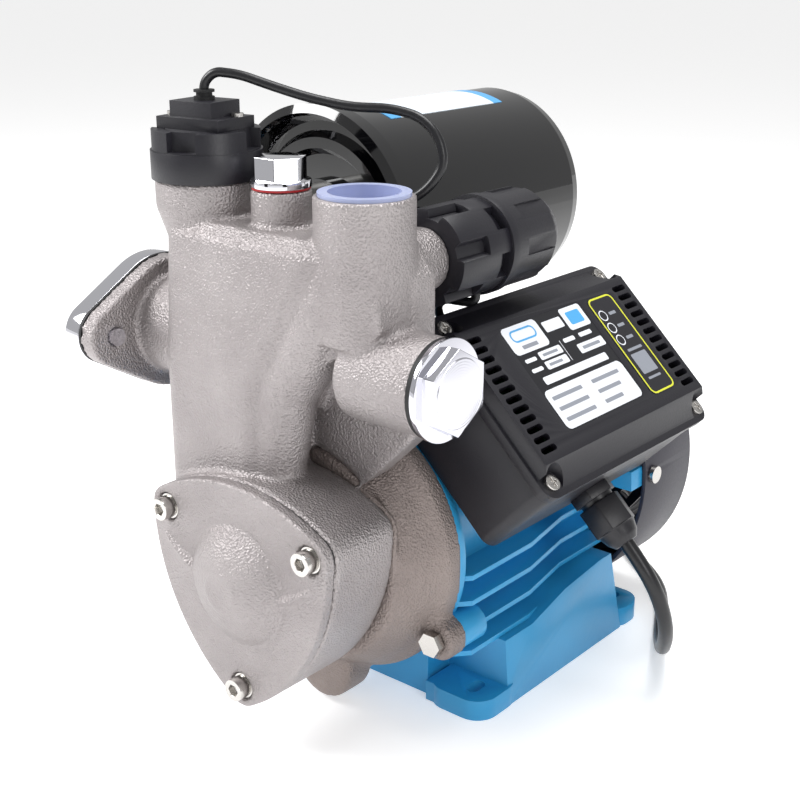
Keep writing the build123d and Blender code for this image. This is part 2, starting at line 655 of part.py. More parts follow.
def make_motor():
    y0, y1 = stator_y
    core = tube_y(stator_outer, stator_bore, y0, y1)
    windings = [tube_y(stator_outer - 3, stator_bore + 3.5, start, start + 13)
                for start in (y0 - 13, y1)]
    rotor = rod_y(rotor_radius, y0 + 1, y1 - 1) - rod_y(shaft_radius, y0, y1)
    shaft = rod_y(shaft_radius, impeller_y[0], fan_y[1] + 2)
    shaft += rod_y(4.0, impeller_y[0] - 8, impeller_y[0])
    shield = rod_y(stator_outer, rear_bearing_y + 4, housing_back_y)
    shield += rod_y(23.0, rear_bearing_y, rear_bearing_y + 5)
    shield -= rod_y(bearing_outer, rear_bearing_y - 1, rear_bearing_y + bearing_width)
    shield -= rod_y(shaft_radius + 1.5, rear_bearing_y - 1, housing_back_y + 1)
    shield -= tube_y(41, 25, housing_back_y - 6, housing_back_y + 1)
    outer, inner = [], []
    for start in (front_bearing_y, rear_bearing_y):
        outer.append(tube_y(bearing_outer, bearing_outer - 3.3, start, start + bearing_width))
        inner.append(tube_y(shaft_radius + 3.1, shaft_radius, start, start + bearing_width))
    return {"stator_core": core, "stator_windings": group(windings), "rotor_core": rotor,
            "shaft": shaft, "end_shield": shield, "bearing_outer_rings": group(outer),
            "bearing_inner_rings": group(inner)}


def make_fan():
    fan = rod_y(shaft_radius + 5.5, *fan_y) + rod_y(fan_radius - 14, fan_y[0], fan_y[0] + 3)
    for i in range(7):
        blade = Pos(0, 0, shaft_height) * Rotation(0, 360 / 7 * i, 0) * block(
            10, fan_radius, fan_y[0] + 2, fan_y[1] - 2, -1.3, 1.3)
        fan += blade
    fan -= rod_y(shaft_radius, fan_y[0] - 1, fan_y[1] + 1)
    fan = fan & rod_y(fan_radius, *fan_y)
    front = housing_back_y
    back = fan_cover_back_y
    r = fan_cover_radius
    w = fan_cover_wall
    cup = turned([(r, 0), (r, back - front - 6), (r - 2, back - front - 2),
                  (r - 6, back - front), (0, back - front), (0, back - front - w),
                  (r - 6 - w / 2, back - front - w), (r - 2 - w, back - front - 3),
                  (r - w, back - front - 7), (r - w, 0)],
                 Pos(0, front, shaft_height) * Y_AXIS)
    for ring_radius in (18, 28, 38, 48, 58):
        count = int(ring_radius / 3)
        for i in range(count):
            angle = 360 * (i + 0.5 * (ring_radius % 20 == 8)) / count
            x, z = around_shaft(ring_radius, angle)
            arc = 2 * pi * ring_radius / count - 4
            slot = Pos(x, back, z) * Rotation(0, -angle - 90, 0) * Box(min(arc, 16), 8, 5.0)
            cup -= slot
    screws = []
    outer_x = sqrt(r ** 2 - (fan_screw_z - shaft_height) ** 2)
    for side in (-1, 1):
        hole = sorted((side * (outer_x - 6), side * (outer_x + 3)))
        cup -= rod_x(2.0, *hole, fan_screw_y, fan_screw_z)
        shank = sorted((side * (fan_radius + 3), side * (outer_x + 0.4)))
        cap = sorted((side * (outer_x + 0.3), side * (outer_x + 2.6)))
        screws.append(rod_x(2.0, *shank, fan_screw_y, fan_screw_z) +
                      rod_x(4.4, *cap, fan_screw_y, fan_screw_z))
    return {"fan": fan, "fan_cover": cup, "fan_cover_screws": group(screws)}


# ---------------------------------------------------------------- pressure tank
def make_tank():
    place = Pos(tank_x, 0, tank_z) * Y_AXIS
    port = rear_port_z - tank_z
    steps = 7
    dome = [(tank_radius * cos(pi / 2 * i / steps),
             tank_shoulder_y + tank_dome * sin(pi / 2 * i / steps)) for i in range(steps + 1)]
    inner = [((tank_radius - sheet) * cos(pi / 2 * i / steps),
              tank_shoulder_y + (tank_dome - sheet) * sin(pi / 2 * i / steps))
             for i in range(steps + 1)]
    dome[-1] = (0.0, tank_shoulder_y + tank_dome)
    inner[-1] = (0.0, tank_shoulder_y + tank_dome - sheet)
    shell = turned([(tank_radius - sheet, tank_shell_y), (tank_radius, tank_shell_y)] + dome +
                   list(reversed(inner)), place)
    rim, depth = tank_rim_radius, tank_rim_y
    base_outline = [(rim - 4, depth), (rim, depth + 2), (rim, depth + 10),
                    (tank_radius, tank_shell_y), (tank_radius - sheet, tank_shell_y),
                    (tank_radius - sheet - 1, tank_shell_y + 6),
                    (18, tank_shell_y + 6), (18, tank_shell_y), (7.0, tank_shell_y),
                    (7.0, depth + 6), (22, depth + 6), (22, depth + 11), (33, depth + 11),
                    (36, depth + 7), (41, depth + 7), (44, depth + 11), (48, depth + 11),
                    (51, depth + 3)]
    base = turned(base_outline, place)
    socket = rod_y(tank_boss_radius + 4, tank_boss_y - 8, tank_rim_y + 7, tank_x, rear_port_z)
    socket -= rod_y(tank_boss_radius, tank_boss_y - 9, tank_boss_y, tank_x, rear_port_z)
    socket -= rod_y(7.0, tank_boss_y - 1, tank_rim_y + 8, tank_x, rear_port_z)
    base -= rod_y(tank_boss_radius + 4, tank_boss_y - 8, tank_rim_y + 7, tank_x, rear_port_z)
    bladder_r = tank_radius - sheet - 3
    bladder = turned([(0, tank_shell_y + 9), (bladder_r - 8, tank_shell_y + 9),
                      (bladder_r, tank_shell_y + 16), (bladder_r, 60), (bladder_r - 9, 76),
                      (0, 84)], place)
    bladder -= turned([(0, tank_shell_y + 11), (bladder_r - 10, tank_shell_y + 11),
                       (bladder_r - 2, tank_shell_y + 17), (bladder_r - 2, 59),
                       (bladder_r - 11, 74), (0, 82)], place)
    label = tube_y(tank_radius + 0.3, tank_radius, -24, 62, tank_x, tank_z)
    label &= Pos(tank_x, 19, tank_z) * Rotation(0, 4, 0) * block(-17, 17, -43, 43, 40, 60)
    return {"tank_shell": shell, "tank_base": base, "tank_adapter": socket,
            "tank_bladder": bladder, "tank_label": label}


# ---------------------------------------------------------------- pressure switch
def make_switch():
    x, z = outlet_port_x, rear_port_z
    front, middle, back = switch_boss_y, switch_base_y, switch_end_y
    base = rod_y(17.0, front, middle, x, z) - rod_y(13.0, front + 8, middle + 1, x, z)
    base -= rod_y(5.0, front - 1, front + 9, x, z)
    round_edge = rod_y(switch_radius - 1.2, front, middle, x, z)
    for turn in range(0, 360, 60):
        tab = Rotation(0, turn + 15, 0) * block(16, 22, front, middle - 7, -6.5, 6.5)
        tooth = Rotation(0, turn + 45, 0) * block(16, 22, middle - 15, middle, -5, 5)
        base += (Pos(x, 0, z) * tab) & round_edge
        base += (Pos(x, 0, z) * tooth) & round_edge
    cap = turned([(13.0, 0), (switch_radius, 0), (switch_radius, 5), (switch_radius - 0.8, 6),
                  (switch_radius - 0.8, 32), (switch_radius - 5, 40), (0, 40), (0, 37),
                  (13.0, 34)], Pos(x, middle, z) * Y_AXIS)
    for turn in range(0, 360, 45):
        groove = Pos(x, 0, z) * Rotation(0, turn, 0) * block(
            switch_radius - 2.0, switch_radius + 2, middle + 12, back + 2, -3.6, 3.6)
        cap -= groove
    plunger = rod_y(5.0 - running_gap, front + 2.0, front + 11, x, z)
    plunger += rod_y(9.0, front + 11, front + 14, x, z)
    contacts = tube_y(12.9, 10.5, front + 22, middle, x, z)
    contacts += rod_y(12.9, front + 18.5, front + 22, x, z)
    return {"switch_base": group([base, contacts]), "switch_cap": cap,
            "switch_plunger": plunger}


# ---------------------------------------------------------------- control box
def make_box():
    (x0, x1), (y0, y1) = box_x, box_y
    w = box_wall
    lid_corners = [(x, y) for x in (x0 + lid_screw_inset, x1 - lid_screw_inset)
                   for y in (y0 + lid_screw_inset, y1 - lid_screw_inset)]
    outer = extrude(section(box_bottom, x0 + 1, x1 - 1, y0 + 1, y1 - 1, 6),
                    box_split - box_bottom)
    inner = extrude(section(box_bottom + w, x0 + 1 + w, x1 - 1 - w, y0 + 1 + w, y1 - 1 - w, 4),
                    box_split - box_bottom)
    base = outer - inner
    for x, y in lid_corners:
        base += rod_z(5.5, box_bottom + 1, box_split, x, y) & outer
    for x, y in lid_corners:
        base -= rod_z(1.8, box_split - 18, box_split + 1, x, y)
    base -= rod_x(8.0, x1 - 6, x1 + 1, gland_y, gland_z)
    base -= rod_z(6.5, box_bottom - 1, box_bottom + w + 1, 0, -30)
    for y, radius in ((sensor_entry_y, 2.0), (switch_entry_y, 2.2)):
        base -= rod_x(radius, x0, x0 + 6, y, entry_z)

    lid = extrude(section(box_split, x0, x1, y0, y1, 7), lid_pad - box_split)
    ridge = make_face(Polyline((x0 + 1.5, lid_pad - 1), (x0 + 13, lid_top), (x1 - 13, lid_top),
                               (x1 - 1.5, lid_pad - 1), close=True))
    ridge_plane = Plane(origin=(0, y1 - 1.5, 0), x_dir=(1, 0, 0), z_dir=(0, -1, 0))
    lid += extrude(ridge_plane * ridge, y1 - y0 - 3)
    hollow = extrude(section(box_split - 1, x0 + w, x1 - w, y0 + w, y1 - w, 4), lid_pad -
                     box_split - 1)
    hollow_ridge = make_face(Polyline((x0 + 12, lid_pad - 3), (x0 + 17, lid_top - w),
                                      (x1 - 17, lid_top - w), (x1 - 12, lid_pad - 3),
                                      close=True))
    hollow_plane = Plane(origin=(0, y1 - 13.5, 0), x_dir=(1, 0, 0), z_dir=(0, -1, 0))
    lid -= hollow
    lid -= extrude(hollow_plane * hollow_ridge, y1 - y0 - 27)
    for x, y in lid_corners:
        lid += rod_z(5.5, box_split, lid_pad, x, y)
        lid -= rod_z(6.2, lid_pad, lid_top + 2, x, y)
        lid -= rod_z(2.0, box_split - 1, lid_top, x, y)
    for i in range(vent_count):
        x = 1.0 + (i - (vent_count - 1) / 2) * vent_pitch
        for y in (y0 + vent_inset, y1 - vent_inset):
            vent = SlotOverall(vent_length, vent_width, rotation=90)
            lid -= Pos(x, y, lid_pad - 3) * extrude(vent, lid_top - lid_pad + 5)
    lid -= extrude(section(lid_top - 0.8, *plate_x, *plate_y, 4), 2)
    lid -= extrude(section(lid_top - 0.5, *status_x, *status_y, 4), 2)
    name_plate = extrude(section(lid_top - 0.8, *plate_x, *plate_y, 4), 0.7)
    status = extrude(section(lid_top - 0.5, *status_x, *status_y, 4), 0.6)
    leds = []
    for x in led_x:
        status -= rod_z(led_radius, lid_top - 1, lid_top + 1, x, led_y)
        leds.append(rod_z(led_radius, lid_top - 0.5, lid_top + 0.3, x, led_y))
    screws = []
    for x, y in lid_corners:
        screw = rod_z(3.6, lid_pad, lid_pad + 2.0, x, y) + rod_z(1.8, box_split - 12, lid_pad,
                                                                 x, y)
        cross = block(x - 2.2, x + 2.2, y - 0.5, y + 0.5, lid_pad + 0.8, lid_pad + 3)
        cross += block(x - 0.5, x + 0.5, y - 2.2, y + 2.2, lid_pad + 0.8, lid_pad + 3)
        screws.append(screw - cross)
    board_z = box_bottom + w + 8
    board = block(-36, 30, -66, 30, board_z, board_z + 1.6)
    for x, y in ((-30, -60), (24, -60), (-30, 24), (24, 24)):
        board += rod_z(3.0, box_bottom + w, board_z, x, y)
    board += block(-20, 4, -50, -30, board_z + 1.6, board_z + 13)
    board += block(8, 24, -20, 8, board_z + 1.6, board_z + 10)
    capacitor = rod_y(11.0, -22, 26, -14, board_z + 1.6 + 11.0)
    half = gland_across_flats / sqrt(3)
    wall_x = x1 - 1
    gland = Pos(wall_x, gland_y, gland_z) * X_AXIS * hexagon(gland_across_flats, 5.0)
    gland += rod_x(8.0, wall_x - 10, wall_x, gland_y, gland_z)
    gland += rod_x(8.0, wall_x + 5, wall_x + 9, gland_y, gland_z)
    nut = Pos(wall_x + 7, gland_y, gland_z) * X_AXIS * hexagon(gland_across_flats, 14.0)
    nut -= rod_x(8.0, wall_x + 6, wall_x + 9, gland_y, gland_z)
    nose = turned([(0, 0), (half - 1.6, 0), (half - 3.2, 5), (half - 5.4, 8), (0, 8)],
                  Pos(wall_x + 21, gland_y, gland_z) * X_AXIS)
    nut += nose
    cord_bore = rod_x(power_cord_diameter / 2, wall_x - 12, wall_x + 40, gland_y, gland_z)
    gland -= cord_bore
    nut -= cord_bore
    made = {"box_base": base, "box_lid": lid, "lid_screws": screws,
            "name_plate": name_plate, "status_panel": status,
            "indicator_leds": leds, "circuit_board": [board, capacitor],
            "gland_body": gland, "gland_nut": nut}
    return {name: group([tilted * solid for solid in shape]) if isinstance(shape, list)
            else tilted * shape for name, shape in made.items()}


# ---------------------------------------------------------------- cords
def cord_tube(name, points, diameter):
    """Tube of straight runs joined by the largest tangent arcs that the runs allow."""
    spots = [Vector(*p) for p in points]
    radii = []
    for i in range(1, len(spots) - 1):
        before, after = spots[i] - spots[i - 1], spots[i + 1] - spots[i]
        turn = radians(before.get_angle(after))
        radii.append(0.45 * min(before.length, after.length) / tan(turn / 2))
    path = FilletPolyline(*points, radius=radii)
    start = Plane(origin=points[0], z_dir=spots[1] - spots[0])
    tube = sweep(start * Circle(diameter / 2), path=path)
    ratio = tube.volume / (pi * diameter ** 2 / 4 * path.length)
    print(name, "length", round(path.length, 1), "radii", [round(r, 1) for r in radii],
          "volume ratio", round(ratio, 4))
    return tube


def tilted_point(x, y, z):
    """A point of the control box's frame, in the main frame."""
    c, s = cos(radians(box_tilt)), sin(radians(box_tilt))
    return (x * c + z * s, y, shaft_height - x * s + z * c)


sensor_route = [
    (sensor_port_x, port_y, port_top_z + 27), (sensor_port_x, port_y, port_top_z + 39),
    (-43.5, -113.5, 286.5), (-34.0, -108.5, 285.5), (-22.0, -101.5, 281.0),
    (-9.0, -93.5, 276.5), (6.0, -84.0, 273.0), (20.0, -76.0, 273.0), (32.0, -71.0, 270.0),
    (40.5, -69.5, 262.5), (43.5, -69.5, 251.5), (38.5, -74.0, 241.5), (28.5, -79.5, 234.5),
    (18.5, -84.0, 225.0), (14.0, -85.5, 211.0), (12.0, -82.0, 197.0), (12.5, -73.5, 186.0)]
switch_route = [
    (45.5, -49.5, 196.7), (46.0, -50.0, 190.0), (39.5, -53.0, 190.3), (33.0, -55.0, 190.8),
    (27.5, -53.5, 186.5)]


def make_cables():
    wall_x = box_x[0] + 1
    sensor_end = tilted_point(wall_x + 3, sensor_entry_y, entry_z)
    sensor_near = tilted_point(wall_x - 7, sensor_entry_y, entry_z)
    switch_end = tilted_point(wall_x + 3, switch_entry_y, entry_z)
    switch_near = tilted_point(wall_x - 6, switch_entry_y, entry_z)
    sensor = cord_tube("sensor_cable", sensor_route + [sensor_near, sensor_end],
                       sensor_cable_diameter)
    switch = cord_tube("switch_cable", switch_route + [switch_near, switch_end],
                       sensor_cable_diameter)
    return {"sensor_cable": sensor, "switch_cable": switch}


cord_route = [
    (111.5, -12.0, 74.3), (120.0, -9.0, 60.0), (122.5, -3.5, 44.0), (119.0, 5.0, 30.0),
    (112.0, 16.5, 17.5), (103.5, 30.5, 8.5), (94.5, 45.5, 4.5), (86.0, 61.5, 3.7),
    (77.5, 78.0, 3.6), (67.0, 94.0, 3.6), (53.5, 107.5, 3.6), (38.0, 118.0, 3.6),
    (24.0, 130.5, 3.6), (15.0, 146.0, 3.6), (12.0, 158.0, 3.6)]
tail_route = [
    (-72.0, 158.0, 3.6), (-73.5, 140.0, 3.6), (-80.0, 122.5, 3.7), (-89.5, 106.0, 5.5),
    (-96.0, 91.0, 8.5), (-97.5, 76.0, 12.0), (-97.5, 62.0, 12.0)]


def make_power_cord():
    inner_point = tilted_point(box_x[1] + 20, gland_y, gland_z)
    first = cord_tube("power_cord", [inner_point] + cord_route, power_cord_diameter)
    last = cord_tube("power_cord_tail", tail_route, power_cord_diameter)
    d = power_cord_diameter
    cx, cy = coil_centre
    coil = turned([(coil_radius - d, 1.2), (coil_radius - d + 1.2, 0.1),
                   (coil_radius + d - 1.2, 0.1), (coil_radius + d, 1.2),
                   (coil_radius + d, coil_height - 4), (coil_radius + d - 4, coil_height),
                   (coil_radius - d + 4, coil_height), (coil_radius - d, coil_height - 4)],
                  Pos(cx, cy, 0))
    coil = coil - first - last
    px, py, pz = tail_route[-1]
    plug = extrude(section(0, px - 13, px + 13, py - 38, py - 6, 5), 24)
    plug += rod_y(5.5, py - 7, py, px, pz)
    pins = [block(px - 0.8, px + 0.8, py - 55, py - 36, 3.5, 9.8)]
    for side in (-1, 1):
        pin = Pos(px + side * 6.5, 0, 14.5) * Rotation(0, side * 30, 0) * block(
            -0.8, 0.8, py - 55, py - 36, -3.2, 3.2)
        pins.append(pin)
    for pin in pins:
        plug -= pin
    return {"power_cord": group([first, last]), "power_cord_coil": coil, "power_plug": plug,
            "plug_pins": group(pins)}


# ---------------------------------------------------------------- all the pieces
makers = (make_front_cover, make_casing, make_ejector, make_sensor, make_plugs, make_suction,
          make_bracket, make_pump_end, make_housing, make_motor, make_fan, make_tank,
          make_switch, make_box, make_cables, make_power_cord)
os.makedirs("parts", exist_ok=True)
for maker in makers:
    for name, shape in maker().items():
        export_step(shape, f"parts/{name}.step")
        print(name, len(shape.solids()), round(shape.volume))
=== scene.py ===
# %% [markdown]
# # A jet pump, dressed
# The measured model of the pump arrives as a fixed frame: every part has its true size and place.
# This lesson gives the parts their real surfaces, rounds the castings as sand casting does, and lays
# the power cord. We start by loading the frame.

# %% Load the frame
import math

import bmesh
import bpy
from mathutils import Matrix, Vector


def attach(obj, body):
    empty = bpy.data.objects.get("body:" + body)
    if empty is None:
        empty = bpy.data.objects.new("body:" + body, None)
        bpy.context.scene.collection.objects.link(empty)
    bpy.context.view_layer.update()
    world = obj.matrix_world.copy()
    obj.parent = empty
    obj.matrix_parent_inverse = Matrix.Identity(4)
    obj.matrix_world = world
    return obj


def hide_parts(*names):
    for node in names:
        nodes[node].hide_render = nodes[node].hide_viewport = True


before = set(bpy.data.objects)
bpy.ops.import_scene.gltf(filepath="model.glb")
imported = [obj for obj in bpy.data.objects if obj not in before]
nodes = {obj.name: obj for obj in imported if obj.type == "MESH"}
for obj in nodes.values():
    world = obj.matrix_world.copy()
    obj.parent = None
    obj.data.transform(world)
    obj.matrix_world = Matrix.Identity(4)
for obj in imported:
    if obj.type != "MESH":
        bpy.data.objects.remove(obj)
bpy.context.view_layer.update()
mm = 0.001

# %% [markdown]
# The camera comes first, so that every later choice can be judged through it. It stands a little over
# half a metre away, to the right of the front cover, and looks down at nineteen degrees.

# %% Camera
camera = bpy.data.objects.new("camera", bpy.data.cameras.new("camera"))
camera.data.lens = 60.64
camera.data.sensor_width = 36.0
camera.location = (0.38266, -0.50154, 0.34033)
camera.rotation_euler = (math.radians(90 - 19.09), 0.0, math.radians(40.03))
camera.data.clip_start = 0.01
bpy.context.collection.objects.link(camera)
bpy.context.scene.camera = camera
print("lens in millimetres:", round(camera.data.lens, 2))

# %% [markdown]
# Two short helpers build materials. The first turns a colour picked on a screen, which is written as
# an sRGB hex value, into the linear numbers that Blender mixes light with. The second adds a node with
# its settings and links. Each surface below is then a few lines that read like a recipe.

# %% Material helpers
common_ior = 1.5  # paint, plastic and rubber all bend light about this much


def linear(hex_colour):
    """Turns an sRGB hex colour into a linear RGBA tuple."""
    channels = [int(hex_colour[i:i + 2], 16) / 255 for i in (1, 3, 5)]
    return tuple(c / 12.92 if c <= 0.04045 else ((c + 0.055) / 1.055) ** 2.4
                 for c in channels) + (1.0,)


def add(tree, kind, inputs=None, **settings):
    """Adds a node, sets its properties, and fills or links its inputs."""
    made = tree.nodes.new("ShaderNode" + kind)
    for name, value in settings.items():
        setattr(made, name, value)
    for name, value in (inputs or {}).items():
        if isinstance(value, bpy.types.NodeSocket):
            tree.links.new(value, made.inputs[name])
        else:
            made.inputs[name].default_value = value
    return made


def new_material(name, hex_colour, metallic=0.0, roughness=0.5):
    """Starts a material with one shader; returns the material, its tree and its shader."""
    material = bpy.data.materials.new(name)
    material.use_nodes = True
    tree = material.node_tree
    shader = tree.nodes["Principled BSDF"]
    shader.inputs["Base Color"].default_value = linear(hex_colour)
    shader.inputs["Metallic"].default_value = metallic
    shader.inputs["Roughness"].default_value = roughness
    if metallic < 0.5:
        shader.inputs["IOR"].default_value = common_ior
    return material, tree, shader


def object_place(tree):
    """The point on the object, in metres, which every solid pattern starts from."""
    return add(tree, "TexCoord").outputs["Object"]


def grain(tree, size, detail=2.0, roughness=0.5):
    """Soft noise whose lumps are about the given size in metres."""
    return add(tree, "TexNoise", {"Vector": object_place(tree), "Scale": 0.6 / size,
                                  "Detail": detail, "Roughness": roughness})


def bumped(tree, shader, height, depth, strength=1.0):
    """Feeds a height pattern to the shader as relief of the given depth in metres."""
    relief = add(tree, "Bump", {"Strength": strength, "Distance": depth, "Height": height})
    tree.links.new(relief.outputs["Normal"], shader.inputs["Normal"])


def two_tone(tree, factor, dark, light):
    """Mixes two hex colours by a factor."""
    mix = add(tree, "Mix", {0: factor, 6: linear(dark), 7: linear(light)}, data_type="RGBA")
    return mix.outputs[2]


print("middle grey in linear numbers:", round(linear("#808080")[0], 3))

# %% [markdown]
# The casing is sand-cast nickel silver, bead-blasted after casting. The sand leaves lumps of about a
# millimetre, and the blasting a fine satin, so the metal never mirrors: it glows softly and each lump
# has a bright and a dark side. Two noises give the relief, and a third mottles the colour a little.

# %% Cast metals
def cast_metal(name, dark, light, lump, depth, roughness):
    material, tree, shader = new_material(name, light, metallic=0.8, roughness=roughness)
    patches = grain(tree, 18 * mm, detail=3.0)
    tree.links.new(two_tone(tree, patches.outputs["Fac"], dark, light),
                   shader.inputs["Base Color"])
    coarse = grain(tree, lump, detail=3.0, roughness=0.65)
    cells = add(tree, "TexVoronoi", {"Vector": object_place(tree), "Scale": 0.75 / lump})
    height = add(tree, "Math", {0: coarse.outputs["Fac"], 1: cells.outputs["Distance"]},
                 operation="ADD")
    bumped(tree, shader, height.outputs["Value"], depth)
    rough = add(tree, "MapRange", {"Value": coarse.outputs["Fac"], "To Min": roughness - 0.06,
                                   "To Max": roughness + 0.12})
    tree.links.new(rough.outputs["Result"], shader.inputs["Roughness"])
    return material


sand_lump, sand_depth = 0.75 * mm, 0.42 * mm
cast_silver = cast_metal("sand_cast_nickel_silver", "#938d8d", "#b3adad", sand_lump, sand_depth,
                         0.44)
cast_brown = cast_metal("sand_cast_bracket", "#7d7370", "#9d928d", sand_lump, sand_depth, 0.48)
print("cast metals:", cast_silver.name, cast_brown.name)

# %% [markdown]
# Machined and plated metals have almost no relief. What tells them apart is how sharply they mirror:
# chrome is nearly perfect, zinc-plated screws are a little cloudy, and turned faces carry fine rings.

# %% Bright metals
chrome, tree, shader = new_material("polished_chrome", "#e4e4ea", metallic=1.0, roughness=0.07)
waves = grain(tree, 14 * mm, detail=1.0)
bumped(tree, shader, waves.outputs["Fac"], 0.25 * mm, 0.35)

turned_chrome, tree, shader = new_material("chrome_with_turned_face", "#dcdce4", metallic=1.0,
                                           roughness=0.1)
plug_axis = Vector((0.0, -0.116, 0.175))
plug_face_x = 0.0884  # the turned face is past this; the hexagon's sides are before it
ring_spacing = 1.1 * mm  # real rings are finer and wouldn't show
place = add(tree, "SeparateXYZ", {"Vector": object_place(tree)})
across = add(tree, "Math", {0: place.outputs["Y"], 1: plug_axis.y}, operation="SUBTRACT")
along = add(tree, "Math", {0: place.outputs["Z"], 1: plug_axis.z}, operation="SUBTRACT")
flat = add(tree, "CombineXYZ", {"X": across.outputs["Value"], "Y": along.outputs["Value"]})
distance = add(tree, "VectorMath", {0: flat.outputs["Vector"]}, operation="LENGTH")
angle = add(tree, "Math", {0: distance.outputs["Value"], 1: 2 * math.pi / ring_spacing},
            operation="MULTIPLY")
rings = add(tree, "Math", {0: angle.outputs["Value"]}, operation="SINE")
on_face = add(tree, "Math", {0: place.outputs["X"], 1: plug_face_x},
              operation="GREATER_THAN")
relief = add(tree, "Math", {0: rings.outputs["Value"], 1: on_face.outputs["Value"]},
             operation="MULTIPLY")
bumped(tree, shader, relief.outputs["Value"], 0.02 * mm, 0.8)
cloudy = add(tree, "MapRange", {"Value": on_face.outputs["Value"], "To Min": 0.07, "To Max": 0.2})
tree.links.new(cloudy.outputs["Result"], shader.inputs["Roughness"])

zinc, tree, shader = new_material("zinc_plated_steel", "#c9c6c2", metallic=1.0, roughness=0.24)
haze = grain(tree, 0.7 * mm, detail=2.0)
bumped(tree, shader, haze.outputs["Fac"], 0.03 * mm, 0.5)

machined, tree, shader = new_material("machined_steel", "#a9a8a6", metallic=1.0, roughness=0.32)
haze = grain(tree, 0.5 * mm)
bumped(tree, shader, haze.outputs["Fac"], 0.03 * mm, 0.5)

laminated, tree, shader = new_material("stacked_steel_sheets", "#75757a", metallic=1.0,
                                       roughness=0.45)
sheets = add(tree, "TexWave", {"Vector": object_place(tree), "Scale": 1 / (20 * 0.5 * mm)},
             bands_direction="Y")
bumped(tree, shader, sheets.outputs["Fac"], 0.1 * mm)

brass, tree, shader = new_material("turned_brass", "#c79d54", metallic=1.0, roughness=0.3)
haze = grain(tree, 0.8 * mm)
bumped(tree, shader, haze.outputs["Fac"], 0.03 * mm, 0.5)

copper, tree, shader = new_material("enamelled_copper_wire", "#a4562c", metallic=0.7,
                                    roughness=0.35)
strands = add(tree, "TexWave", {"Vector": object_place(tree), "Scale": 1 / (20 * 0.9 * mm)},
              bands_direction="DIAGONAL")
bumped(tree, shader, strands.outputs["Fac"], 0.3 * mm)

aluminium, tree, shader = new_material("die_cast_aluminium", "#b2b4b8", metallic=1.0,
                                       roughness=0.42)
haze = grain(tree, 1.2 * mm)
bumped(tree, shader, haze.outputs["Fac"], 0.08 * mm, 0.5)
print("bright metals:", chrome.name, zinc.name, machined.name, brass.name, aluminium.name)

# %% [markdown]
# The motor is die-cast aluminium under sprayed blue paint. Paint flows a little before it dries, which
# leaves a faint orange peel a few millimetres across, and it keeps some gloss. The pressure tank is
# stoved black enamel, smooth enough to mirror, so it gets a clear coat over its own gloss.

# %% Paints
blue, tree, shader = new_material("sprayed_blue_paint", "#2b93c6", roughness=0.34)
drift = grain(tree, 25 * mm, detail=2.0)
tree.links.new(two_tone(tree, drift.outputs["Fac"], "#2089bf", "#349dd0"),
               shader.inputs["Base Color"])
peel = grain(tree, 1.6 * mm, detail=2.0)
bumped(tree, shader, peel.outputs["Fac"], 0.10 * mm, 0.55)

enamel, tree, shader = new_material("glossy_black_enamel", "#040406", roughness=0.06)
shader.inputs["Coat Weight"].default_value = 0.5
shader.inputs["Coat Roughness"].default_value = 0.04
peel = grain(tree, 5 * mm, detail=1.0)
bumped(tree, shader, peel.outputs["Fac"], 0.05 * mm, 0.35)
print("paints:", blue.name, enamel.name)

# %% [markdown]
# The black mouldings are glass-filled nylon and ABS from a spark-eroded mould: a fine even grain and a
# satin sheen. The cords are soft PVC, smoother and a little glossier; the seals are plain rubber.

# %% Plastics and rubber
def moulded(name, hex_colour, roughness, grit, depth):
    material, tree, shader = new_material(name, hex_colour, roughness=roughness)
    speckle = grain(tree, grit, detail=2.0)
    bumped(tree, shader, speckle.outputs["Fac"], depth, 0.6)
    rough = add(tree, "MapRange", {"Value": speckle.outputs["Fac"], "To Min": roughness - 0.05,
                                   "To Max": roughness + 0.08})
    tree.links.new(rough.outputs["Result"], shader.inputs["Roughness"])
    return material


black_abs = moulded("spark_grained_black_abs", "#19181f", 0.40, 0.6 * mm, 0.09 * mm)
black_nylon = moulded("glass_filled_black_nylon", "#141319", 0.36, 0.5 * mm, 0.06 * mm)
fan_plastic = moulded("fan_cover_plastic", "#2a2833", 0.45, 0.7 * mm, 0.06 * mm)
pvc = moulded("cord_pvc", "#0f0f13", 0.34, 1.0 * mm, 0.05 * mm)
rubber = moulded("seal_rubber", "#121214", 0.6, 0.5 * mm, 0.03 * mm)
red_rubber = moulded("red_silicone", "#a3161b", 0.45, 0.5 * mm, 0.03 * mm)
white_plastic = moulded("white_acetal", "#e6e6e4", 0.35, 0.8 * mm, 0.02 * mm)

protector, tree, shader = new_material("milky_polyethylene", "#9ea6c8", roughness=0.22)
shader.inputs["Subsurface Weight"].default_value = 0.35
shader.inputs["Subsurface Radius"].default_value = (0.004, 0.004, 0.005)
haze = grain(tree, 3 * mm)
bumped(tree, shader, haze.outputs["Fac"], 0.05 * mm, 0.4)

board, tree, shader = new_material("solder_resist", "#145c33", roughness=0.3)
# At this scale the tracks are fields of 3.1 by 1.6 mm.
tracks = add(tree, "TexBrick", {"Vector": object_place(tree), "Scale": 160.0,
                                "Color1": linear("#145c33"), "Color2": linear("#1a6b3c"),
                                "Mortar": linear("#2b8450")})
tree.links.new(tracks.outputs["Color"], shader.inputs["Base Color"])
print("plastics and rubber:", black_abs.name, black_nylon.name, pvc.name, rubber.name)

# %% [markdown]
# Dressing a part is one call: it gives the frame's own mesh a material and touches nothing else.

# %% Dress the frame's parts
def dress(material, *names):
    for name in names:
        slots = nodes[name].data.materials
        slots.clear()
        slots.append(material)


